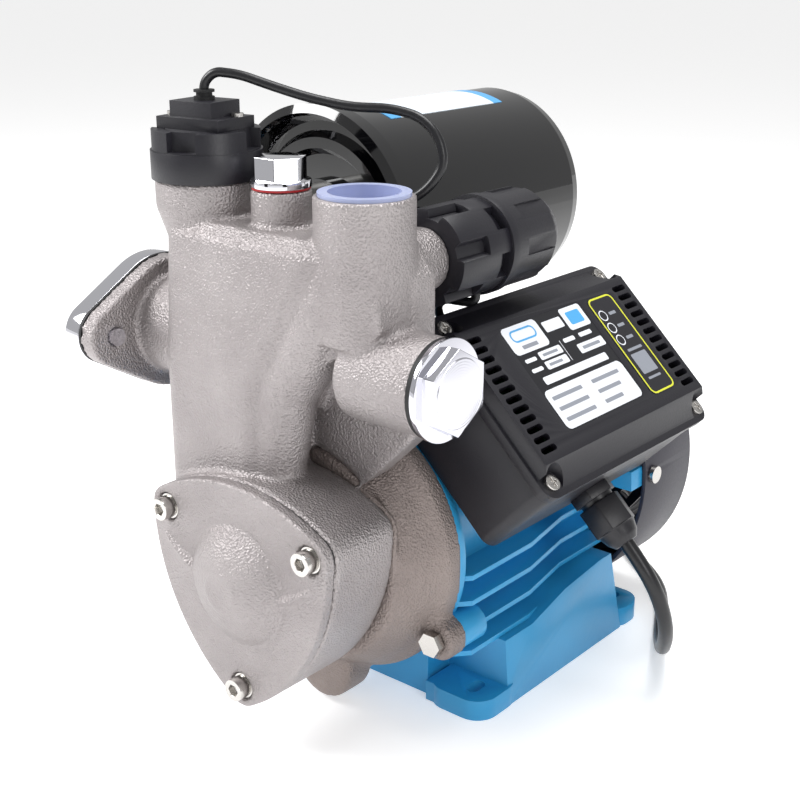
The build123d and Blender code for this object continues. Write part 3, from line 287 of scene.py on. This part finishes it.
dress(cast_silver, "pump_casing", "front_cover")
dress(cast_brown, "motor_bracket")
dress(zinc, "cover_screws", "bracket_bolts", "fan_cover_screws", "lid_screws", "sensor_screws",
      "impeller_nut", "shaft_seal_head")
dress(machined, "shaft", "bearing_outer_rings", "bearing_inner_rings", "tank_adapter")
dress(chrome, "side_plug", "fill_plug", "suction_flange", "suction_bolts")
dress(laminated, "stator_core", "rotor_core")
dress(brass, "ejector", "diffuser", "impeller", "switch_plunger", "plug_pins")
dress(copper, "stator_windings")
dress(aluminium, "end_shield")
dress(blue, "motor_housing")
dress(enamel, "tank_shell", "tank_base")
dress(black_abs, "box_base", "box_lid", "switch_base", "switch_cap", "flow_sensor_housing",
      "flow_sensor_head", "indicator_leds")
dress(black_nylon, "gland_body", "gland_nut", "fan")
dress(fan_plastic, "fan_cover")
dress(pvc, "power_cord", "power_cord_coil", "power_plug", "sensor_cable", "switch_cable")
dress(rubber, "front_cover_gasket", "side_plug_oring", "suction_gasket", "sensor_oring",
      "sensor_grommet", "tank_bladder", "shaft_seal_seat")
dress(red_rubber, "fill_plug_gasket")
dress(white_plastic, "flow_valve")
dress(protector, "outlet_cap")
dress(board, "circuit_board")
print("parts in the frame:", len(nodes))

# %% [markdown]
# The power cord is a seven millimetre lead. It leaves the gland downwards, falls to the floor beside
# the foot in one loose bend, runs back past the fan cover and is wound into a flat coil behind the
# pump. A swept mesh could draw it, but a curve keeps it round and easy to move: a NURBS spline that
# listed points pull into shape. Only the coil's turns come from a loop.

# %% Power cord
cord_thickness = 7 * mm
lead_points = [
    (99.3, -12.0, 86.2), (111.5, -12.0, 74.3), (120.0, -9.0, 60.0), (122.5, -3.5, 44.0),
    (119.0, 5.0, 30.0), (112.0, 16.5, 17.5), (103.5, 30.5, 8.5), (94.5, 45.5, 4.5),
    (86.0, 61.5, 3.7), (77.5, 78.0, 3.6), (67.0, 94.0, 3.6), (53.5, 107.5, 3.6),
    (38.0, 118.0, 3.6), (24.0, 130.5, 3.6), (15.0, 146.0, 3.6)]
tail_points = [
    (-80.5, 141.0, 5.0), (-82.5, 124.0, 4.0), (-89.5, 106.0, 5.5), (-96.0, 91.0, 8.5),
    (-97.5, 76.0, 12.0), (-97.5, 62.0, 12.0)]
coil_centre = (-30.0, 158.0)
turns = 4.45
steps_per_turn = 16
crossing = 0.3  # the share of a turn in which the cord crosses to the next ring or layer
outer_radius = 45.4
lying_height = 3.6
neighbour = 7.0  # from one cord's middle to the next one's


def crossed(turn, start):
    """Rises from 0 at the start to 1 when the crossing is over."""
    return min(max(turn - start, 0.0), crossing) / crossing


def coil_point(turn):
    """Two turns on the floor, outer then inner, and two on top, inner then outer."""
    layer = crossed(turn, 1.85)
    inner = crossed(turn, 0.85) - crossed(turn, 2.85)
    away = max(turn - 4.15, 0.0) / crossing
    radius = outer_radius - neighbour * inner + 5.0 * away
    height = lying_height + neighbour * layer - 3.0 * away
    angle = turn * 2 * math.pi
    return (coil_centre[0] + radius * math.cos(angle),
            coil_centre[1] + radius * math.sin(angle), height)


coil_points = [coil_point(i / steps_per_turn) for i in range(int(turns * steps_per_turn) + 1)]
route = lead_points + coil_points + tail_points
cord_curve = bpy.data.curves.new("power_lead", "CURVE")
cord_curve.dimensions = "3D"
cord_curve.bevel_depth = cord_thickness / 2
cord_curve.bevel_resolution = 5
cord_curve.resolution_u = 8
spline = cord_curve.splines.new("NURBS")
spline.points.add(len(route) - 1)
for point, (x, y, z) in zip(spline.points, route):
    point.co = (x * mm, y * mm, z * mm, 1.0)
spline.order_u = 3
spline.use_endpoint_u = True
power_lead = bpy.data.objects.new("power_lead", cord_curve)
bpy.context.collection.objects.link(power_lead)
cord_curve.materials.append(pvc)
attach(power_lead, "pump")
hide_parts("power_cord", "power_cord_coil")
route_length = sum((Vector(b) - Vector(a)).length for a, b in zip(route, route[1:])) * mm
print("cord runs added up:", round(route_length, 3))

# %% [markdown]
# Sand casting can't make a sharp corner. To round every edge of a casting at once, we copy its mesh,
# rebuild it from small cubes (a voxel remesh), and relax the new vertices. A Bevel modifier fails
# where so many shapes meet, and the cubes don't mind. Faces that were machined afterwards stay flat,
# because their vertices are left out of the relaxing.

# %% Helper: a casting from a sharp part
merge_distance = 0.002 * mm
flat_tolerance = 0.6 * mm
triangle_limit = 185000


def new_object(name, mesh, material):
    made = bpy.data.objects.new(name, mesh)
    bpy.context.collection.objects.link(made)
    mesh.materials.clear()
    mesh.materials.append(material)
    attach(made, "pump")
    return made


def welded_copy(name):
    """A bmesh of a frame part whose loose triangles are merged."""
    shape = bmesh.new()
    shape.from_mesh(nodes[name].data)
    bmesh.ops.remove_doubles(shape, verts=shape.verts, dist=merge_distance)
    return shape


def applied(made):
    """Replaces an object's mesh with what its modifiers give."""
    graph = bpy.context.evaluated_depsgraph_get()
    mesh = bpy.data.meshes.new_from_object(made.evaluated_get(graph))
    made.modifiers.clear()
    made.data = mesh
    return mesh


def as_cast(name, source, material, extras, voxel, relax, machined_faces):
    """Rounds a casting; machined_faces are (axis, value, centre, reach) flats that stay sharp."""
    shape = welded_copy(source)
    for extra in extras:
        extra_mesh = bpy.data.meshes.new("extra")
        extra.to_mesh(extra_mesh)
        shape.from_mesh(extra_mesh)
        extra.free()
    mesh = bpy.data.meshes.new(name)
    shape.to_mesh(mesh)
    shape.free()
    made = new_object(name, mesh, material)
    remesh = made.modifiers.new("remesh", "REMESH")
    remesh.mode = "VOXEL"
    remesh.voxel_size = voxel
    mesh = applied(made)
    shape = bmesh.new()
    shape.from_mesh(mesh)
    free = []
    for vert in shape.verts:
        fixed = False
        for axis, value, centre, reach in machined_faces:
            if abs(vert.co[axis] - value * mm) > flat_tolerance:
                continue
            offset = vert.co - Vector(centre) * mm
            offset[axis] = 0.0
            if offset.length < reach * mm:
                fixed = True
        if not fixed:
            free.append(vert)
    for _ in range(relax):
        bmesh.ops.smooth_vert(shape, verts=free, factor=0.5, use_axis_x=True, use_axis_y=True,
                              use_axis_z=True)
    for face in shape.faces:
        face.smooth = True
    shape.to_mesh(mesh)
    shape.free()
    count = 2 * len(mesh.polygons)
    if count > triangle_limit:
        thin = made.modifiers.new("thin", "DECIMATE")
        thin.ratio = triangle_limit / count
        mesh = applied(made)
        for face in mesh.polygons:
            face.use_smooth = True
    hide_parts(source)
    print(name, "triangles:", sum(len(p.vertices) - 2 for p in mesh.polygons))

# %% [markdown]
# The direction arrows are proud of the outlet bosses by less than a millimetre. Each is the outline of
# a block arrow: a flat arrow face, inset to leave a rim, its middle removed, and the rim extruded.

# %% Arrows
arrow_rim = 0.8 * mm
arrow_depth = 2.4 * mm  # most of it is sunk in the boss


def arrow_outline(turn, centre, length, width):
    """An arrow's rim, pointing along local +X, then turned by the matrix and moved."""
    shape = bmesh.new()
    head = length * 0.45
    half = width / 2
    stem = width * 0.24
    corners = [(-length / 2, -stem), (length / 2 - head, -stem), (length / 2 - head, -half),
               (length / 2, 0), (length / 2 - head, half), (length / 2 - head, stem),
               (-length / 2, stem)]
    face = shape.faces.new([shape.verts.new((x * mm, y * mm, 0)) for x, y in corners])
    bmesh.ops.inset_region(shape, faces=[face], thickness=arrow_rim, use_even_offset=True)
    bmesh.ops.delete(shape, geom=[face], context="FACES_ONLY")
    bmesh.ops.solidify(shape, geom=shape.faces[:], thickness=arrow_depth)
    bmesh.ops.recalc_face_normals(shape, faces=shape.faces)
    bmesh.ops.transform(shape, matrix=Matrix.Translation(Vector(centre) * mm) @ turn,
                        verts=shape.verts)
    return shape


upright = Matrix.Rotation(math.radians(90), 4, "X") @ Matrix.Rotation(math.radians(90), 4, "Z")
sideways = Matrix.Rotation(math.radians(90), 4, "X")
up_arrow = arrow_outline(upright, (37.4, -135.0, 236.0), 12.5, 8.4)
side_arrow = arrow_outline(sideways, (65.0, -134.6, 177.0), 12.0, 7.0)
print("corners of the upright arrow:", len(up_arrow.verts))

# %% [markdown]
# The casing itself. Its machined faces are the sensor seat, the outlet's rim, the side outlet's rim
# and the suction flange's face; everything else keeps the soft corners of the mould.

# %% Casing
as_cast(
    "casing", "pump_casing", cast_silver, [up_arrow, side_arrow], 1.2 * mm, 4,
    [(2, 243.0, (-47.7, -116.0, 243.0), 24.0), (2, 245.5, (41.0, -116.0, 245.5), 22.0),
     (0, 78.0, (78.0, -116.0, 175.0), 22.0), (0, -96.0, (-96.0, -104.0, 169.5), 50.0),
     (0, -88.0, (-88.0, -104.0, 169.5), 50.0)])

# %% [markdown]
# The front cover carries two crescent ridges beside its dome, like brows. Each is a thin leaf: a row
# of rings along an arc, wide in the middle and closed at both tips. The cover is rebuilt from cubes
# half as wide as the casing's, so that its shallow ridges aren't lost.

# %% Front cover
leaf_edge_y = -152.6
leaf_crest_y = -153.2
leaf_root_y = -150.5


def leaf_ridge(points, width, height):
    """A raised leaf along three points (x, z) on the cover's face."""
    shape = bmesh.new()
    start, middle, end = (Vector((x, z)) for x, z in points)
    count = 14
    rings = []
    for i in range(count + 1):
        t = i / count
        spot = start * (1 - t) ** 2 + middle * 2 * t * (1 - t) + end * t ** 2
        slope = ((middle - start) * (1 - t) + (end - middle) * t).normalized()
        swell = max(math.sin(math.pi * t), 0.08) ** 0.7
        side = Vector((-slope.y, slope.x)) * width / 2 * swell
        peak = leaf_crest_y - height * swell
        ring = [(spot.x - side.x, leaf_edge_y, spot.y - side.y), (spot.x, peak, spot.y),
                (spot.x + side.x, leaf_edge_y, spot.y + side.y), (spot.x, leaf_root_y, spot.y)]
        rings.append([shape.verts.new((x * mm, y * mm, z * mm)) for x, y, z in ring])
    for one, two in zip(rings, rings[1:]):
        for j in range(4):
            k = (j + 1) % 4
            shape.faces.new((one[j], one[k], two[k], two[j]))
    shape.faces.new(rings[0])
    shape.faces.new(rings[-1])
    bmesh.ops.recalc_face_normals(shape, faces=shape.faces)
    return shape


brow = [(11.0, 80.0), (31.0, 77.5), (47.0, 95.5)]
ridges = [leaf_ridge(brow, 7.0, 3.0), leaf_ridge([(-x, z) for x, z in brow], 7.0, 3.0)]
as_cast("cover", "front_cover", cast_silver, ridges, 0.6 * mm, 4,
        [(1, -148.0, (0.0, -148.0, 80.0), 60.0)])

# %% [markdown]
# The bracket between casing and motor is a casting of a browner melt, with rounder corners, so it is
# relaxed twice as long. Only the face that meets the casing is machined.

# %% Bracket
as_cast("bracket", "motor_bracket", cast_brown, [], 1.2 * mm, 8,
        [(1, -80.0, (0.0, -80.0, 80.0), 80.0)])

# %% [markdown]
# Moulded and machined parts have small true bevels, which catch the light as a bright line along each
# edge. We copy the part, make its flat faces whole again, and let a Bevel modifier cut the edges that
# turn by more than thirty-five degrees.

# %% Helper: bevelled copies
flat_angle = math.radians(0.5)
edge_angle = math.radians(35.0)
crease_angle = math.radians(32)


def bevelled(name, source, material, width, segments):
    shape = welded_copy(source)
    bmesh.ops.dissolve_limit(shape, angle_limit=flat_angle, verts=shape.verts,
                             edges=shape.edges)
    mesh = bpy.data.meshes.new(name)
    shape.to_mesh(mesh)
    shape.free()
    made = new_object(name, mesh, material)
    edge = made.modifiers.new("edge", "BEVEL")
    edge.width = width
    edge.segments = segments
    edge.limit_method = "ANGLE"
    edge.angle_limit = edge_angle
    edge.use_clamp_overlap = True
    mesh = applied(made)
    for face in mesh.polygons:
        face.use_smooth = True
    mesh.set_sharp_from_angle(angle=crease_angle)
    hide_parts(source)
    print(name, "triangles:", sum(len(p.vertices) - 2 for p in mesh.polygons))

# %% [markdown]
# The table below names each new piece, the part it stands in for, its finish and its edge. Castings
# and mouldings have soft edges, screws fine ones. Chromed pieces take three cuts to an edge instead
# of two, because a mirror shows every facet.

# %% Bevelled pieces
plastic = "black_plastic"
for name, source, material, slot, width, segments in (
        ("housing", "motor_housing", blue, "blue_paint", 0.9, 2),
        ("lid", "box_lid", black_abs, plastic, 0.5, 2),
        ("box", "box_base", black_abs, plastic, 0.8, 2),
        ("outlet_plug", "side_plug", turned_chrome, "chrome", 0.7, 3),
        ("filler", "fill_plug", chrome, "chrome", 0.6, 3),
        ("flange", "suction_flange", chrome, "chrome", 1.2, 3),
        ("sensor_collar", "flow_sensor_housing", black_abs, plastic, 0.6, 2),
        ("sensor_block", "flow_sensor_head", black_abs, plastic, 0.8, 2),
        ("switch_top", "switch_cap", black_abs, plastic, 0.8, 2),
        ("switch_body", "switch_base", black_abs, plastic, 0.5, 2),
        ("nut", "gland_nut", black_nylon, plastic, 0.6, 2),
        ("gland", "gland_body", black_nylon, plastic, 0.5, 2),
        ("cowl", "fan_cover", fan_plastic, plastic, 0.5, 2),
        ("box_screws", "lid_screws", zinc, "steel", 0.25, 2),
        ("head_screws", "cover_screws", zinc, "steel", 0.35, 2)):
    bevelled(name, source, material, width * mm, segments)

# %% [markdown]
# The name plate and the tank's sticker are printed film. Their print is kept generic: a coloured
# field and plain grey bars where lines of data would be, without any letters. An image could carry
# the print, but thin meshes just above the film stay sharp from any distance.

# %% Printed films
box_tilt = math.radians(44.1)
shaft_height = 80.0
print_level = 113.95
line_level = print_level + 0.05
panel_level = 114.15
plate_x, plate_y = (-27.5, 26.0), (-52.5, 9.5)
panel_x, panel_y = (-26.5, 28.0), (14.5, 35.5)


def on_lid(x, y, z=print_level):
    """A point of the tilted lid in the pump's frame; x runs down the slope, y along the shaft."""
    c, s = math.cos(box_tilt), math.sin(box_tilt)
    return Vector((x * c + z * s, y, shaft_height - x * s + z * c)) * mm


def film(name, hex_colour, roughness=0.3):
    material, tree, shader = new_material(name, hex_colour, roughness=roughness)
    speckle = grain(tree, 0.5 * mm)
    bumped(tree, shader, speckle.outputs["Fac"], 0.02 * mm, 0.5)
    return material


def rounded_loop(x0, x1, y0, y1, corner, steps=6):
    """The corners of a rounded rectangle, as a list of (x, y)."""
    loop = []
    for cx, cy, start in ((x1 - corner, y1 - corner, 0), (x0 + corner, y1 - corner, 90),
                          (x0 + corner, y0 + corner, 180), (x1 - corner, y0 + corner, 270)):
        for i in range(steps + 1):
            turn = math.radians(start + 90 * i / steps)
            loop.append((cx + corner * math.cos(turn), cy + corner * math.sin(turn)))
    return loop


def printed(name, material, fields, rings=(), level=print_level):
    """One mesh of filled fields (x0, x1, y0, y1, corner) and of rings (same, then width)."""
    shape = bmesh.new()
    for x0, x1, y0, y1, corner in fields:
        loop = rounded_loop(x0, x1, y0, y1, corner)
        shape.faces.new([shape.verts.new(on_lid(x, y, level)) for x, y in loop])
    for x0, x1, y0, y1, corner, width in rings:
        outer = rounded_loop(x0, x1, y0, y1, corner)
        inner = rounded_loop(x0 + width, x1 - width, y0 + width, y1 - width, corner - width)
        outer = [shape.verts.new(on_lid(x, y, level)) for x, y in outer]
        inner = [shape.verts.new(on_lid(x, y, level)) for x, y in inner]
        for k in range(len(outer)):
            after = (k + 1) % len(outer)
            shape.faces.new((outer[k], outer[after], inner[after], inner[k]))
    bmesh.ops.recalc_face_normals(shape, faces=shape.faces)
    for face in shape.faces:
        if face.normal.z < 0:
            face.normal_flip()
    mesh = bpy.data.meshes.new(name)
    shape.to_mesh(mesh)
    shape.free()
    new_object(name, mesh, material)


def plate_field(left, right, top, bottom, corner=0.8):
    """A field of the name plate in shares of its width (along the shaft) and height."""
    width, height = plate_y[1] - plate_y[0], plate_x[1] - plate_x[0]
    return (plate_x[0] + top * height, plate_x[0] + bottom * height,
            plate_y[0] + left * width, plate_y[0] + right * width, corner)


black_print = film("black_print", "#17171c")
white_print = film("white_print", "#e9ecf2")
blue_print = film("blue_print", "#4fa5de")
yellow_print = film("yellow_print", "#d9dc3c")
grey_print = film("grey_print", "#8f939c")
dress(black_print, "name_plate")

white_fields = [plate_field(0.01, 0.42, 0.01, 0.27, 2.5),
                plate_field(0.72, 0.985, 0.015, 0.23, 1.5),
                plate_field(0.22, 0.49, 0.30, 0.375), plate_field(0.22, 0.49, 0.395, 0.47),
                plate_field(0.66, 0.985, 0.36, 0.45), plate_field(0.01, 0.99, 0.62, 0.985, 3.0)]
white_lines = [plate_field(0.46, 0.69, 0.07, 0.17), plate_field(0.05, 0.18, 0.32, 0.355),
               plate_field(0.05, 0.18, 0.415, 0.45), plate_field(0.56, 0.70, 0.27, 0.31),
               plate_field(0.76, 0.92, 0.27, 0.31), plate_field(0.10, 0.90, 0.51, 0.58),
               plate_field(0.515, 0.52, 0.27, 0.47, 0.1)]
printed("plate_fields", white_print, white_fields + white_lines)
bars = [plate_field(0.26, 0.44, 0.325, 0.35, 0.4), plate_field(0.26, 0.42, 0.42, 0.445, 0.4),
        plate_field(0.71, 0.93, 0.39, 0.42, 0.4), plate_field(0.12, 0.30, 0.20, 0.235, 0.4)]
for row in range(3):
    for left, right in ((0.06, 0.42), (0.55, 0.90 - 0.06 * row)):
        top = 0.685 + 0.10 * row
        bars.append(plate_field(left, right, top, top + 0.035, 0.4))
printed("plate_bars", grey_print, bars, level=line_level)
printed("plate_header", blue_print, [plate_field(0.77, 0.94, 0.06, 0.185, 1.0)],
        [plate_field(0.07, 0.36, 0.05, 0.165, 2.9) + (0.9,)], level=line_level)
print("bars on the name plate:", len(bars))

# %% [markdown]
# The status panel is a second film with a yellow frame, three lights under rings and a few marks. The
# lights are off, so their caps are as black as the film.

# %% Status panel
panel, tree, shader = new_material("printed_panel", "#1b1a20", roughness=0.35)
speckle = grain(tree, 0.6 * mm)
bumped(tree, shader, speckle.outputs["Fac"], 0.03 * mm, 0.5)
dress(panel, "status_panel")
printed("panel_frame", yellow_print, [],
        [(panel_x[0] + 0.5, panel_x[1] - 0.5, panel_y[0] + 0.5, panel_y[1] - 0.5, 3.5, 0.9)],
        level=panel_level)
led_spots = [(-16.3, 19.6), (-9.3, 19.6), (-2.4, 19.6)]
printed("led_rings", white_print, [],
        [(x - 2.9, x + 2.9, y - 2.9, y + 2.9, 2.9, 0.6) for x, y in led_spots],
        level=panel_level)
printed("panel_lines", grey_print,
        [(x - 0.8, x + 0.8, 24.5, 30.0, 0.4) for x, y in led_spots] +
        [(3.0, 4.4, 19.0, 31.0, 0.4), (6.0, 17.0, 18.5, 31.0, 0.6), (19.0, 20.2, 19.5, 30.0, 0.4)],
        level=panel_level)

print("lights on the panel:", len(led_spots))

# %% [markdown]
# The tank's sticker is wrapped round the shell, so its print is a pattern in the material instead:
# pale, with a blue border past a given distance from its middle, measured along the tank.

# %% Tank sticker
label_centre_y = 0.019
label_field = 0.036  # from the middle to where the blue border starts
sticker, tree, shader = new_material("tank_sticker", "#dfe7ef", roughness=0.25)
place = add(tree, "SeparateXYZ", {"Vector": object_place(tree)})
middle = add(tree, "Math", {0: place.outputs["Y"], 1: -label_centre_y},
             operation="ADD")
away = add(tree, "Math", {0: middle.outputs["Value"]}, operation="ABSOLUTE")
border = add(tree, "Math", {0: away.outputs["Value"], 1: label_field},
             operation="GREATER_THAN")
tree.links.new(two_tone(tree, border.outputs["Value"], "#dfe7ef", "#4f9fd6"),
               shader.inputs["Base Color"])
dress(sticker, "tank_label")
print("sticker's border:", label_field)

# %% [markdown]
# The floor is a plain white plane that glows a little, so that it stays white in the pump's shadow.
# There are three soft boxes: the strongest in front to the left, one overhead and a weak one to the
# right. The surround is white too, but half as strong for the metals to mirror as it looks behind
# the pump. Bright metal needs something dark to mirror as well, or it looks like white plastic: two
# black cards stand in front of the pump, out of the camera's sight.

# %% Floor and light
floor_reach = 30
card_black = "#050505"


def stage_plane(name, corners, hex_colour, glow=0.0):
    shape = bmesh.new()
    shape.faces.new([shape.verts.new(corner) for corner in corners])
    mesh = bpy.data.meshes.new(name)
    shape.to_mesh(mesh)
    shape.free()
    made = bpy.data.objects.new(name, mesh)
    bpy.context.collection.objects.link(made)
    material, tree, shader = new_material(name, hex_colour, roughness=0.9)
    shader.inputs["Emission Color"].default_value = (1.0, 1.0, 1.0, 1.0)
    shader.inputs["Emission Strength"].default_value = glow
    mesh.materials.append(material)


stage_plane("floor", [(-floor_reach, -floor_reach, 0), (floor_reach, -floor_reach, 0),
                      (floor_reach, floor_reach, 0), (-floor_reach, floor_reach, 0)],
            "#f4f4f4", glow=0.42)
stage_plane("dark_card_right", [(1.3, -1.2, 0.0), (1.5, -0.7, 0.0), (1.5, -0.7, 1.3),
                                (1.3, -1.2, 1.3)], card_black)
stage_plane("dark_card_left", [(-0.5, -1.5, 0.0), (-0.15, -1.55, 0.0), (-0.15, -1.55, 1.2),
                               (-0.5, -1.5, 1.2)], card_black)


def soft_box(name, place, target, size, power):
    light = bpy.data.lights.new(name, "AREA")
    light.shape = "RECTANGLE"
    light.size, light.size_y = size
    light.energy = power
    lamp = bpy.data.objects.new(name, light)
    lamp.location = place
    lamp.rotation_euler = (Vector(target) - Vector(place)).to_track_quat("-Z", "Y").to_euler()
    bpy.context.collection.objects.link(lamp)


centre = (0.0, -0.03, 0.13)
soft_box("key", (-0.85, -0.75, 1.0), centre, (0.6, 0.6), 17.0)
soft_box("top", (0.15, 0.1, 1.2), centre, (0.7, 0.5), 9.0)
soft_box("fill", (1.3, -0.5, 0.7), centre, (0.5, 0.8), 6.0)
world = bpy.data.worlds.new("studio")
world.use_nodes = True
backdrop = world.node_tree.nodes["Background"]
backdrop.inputs["Color"].default_value = (1.0, 1.0, 1.0, 1.0)
seen = world.node_tree.nodes.new("ShaderNodeLightPath")
strength = world.node_tree.nodes.new("ShaderNodeMapRange")
strength.inputs["To Min"].default_value = 0.5  # as the pump mirrors it
strength.inputs["To Max"].default_value = 1.1  # as the camera sees it
world.node_tree.links.new(seen.outputs["Is Camera Ray"], strength.inputs["Value"])
world.node_tree.links.new(strength.outputs["Result"], backdrop.inputs["Strength"])
bpy.context.scene.world = world
bpy.context.scene.view_settings.view_transform = "Standard"
print("soft boxes:", len(bpy.data.lights))
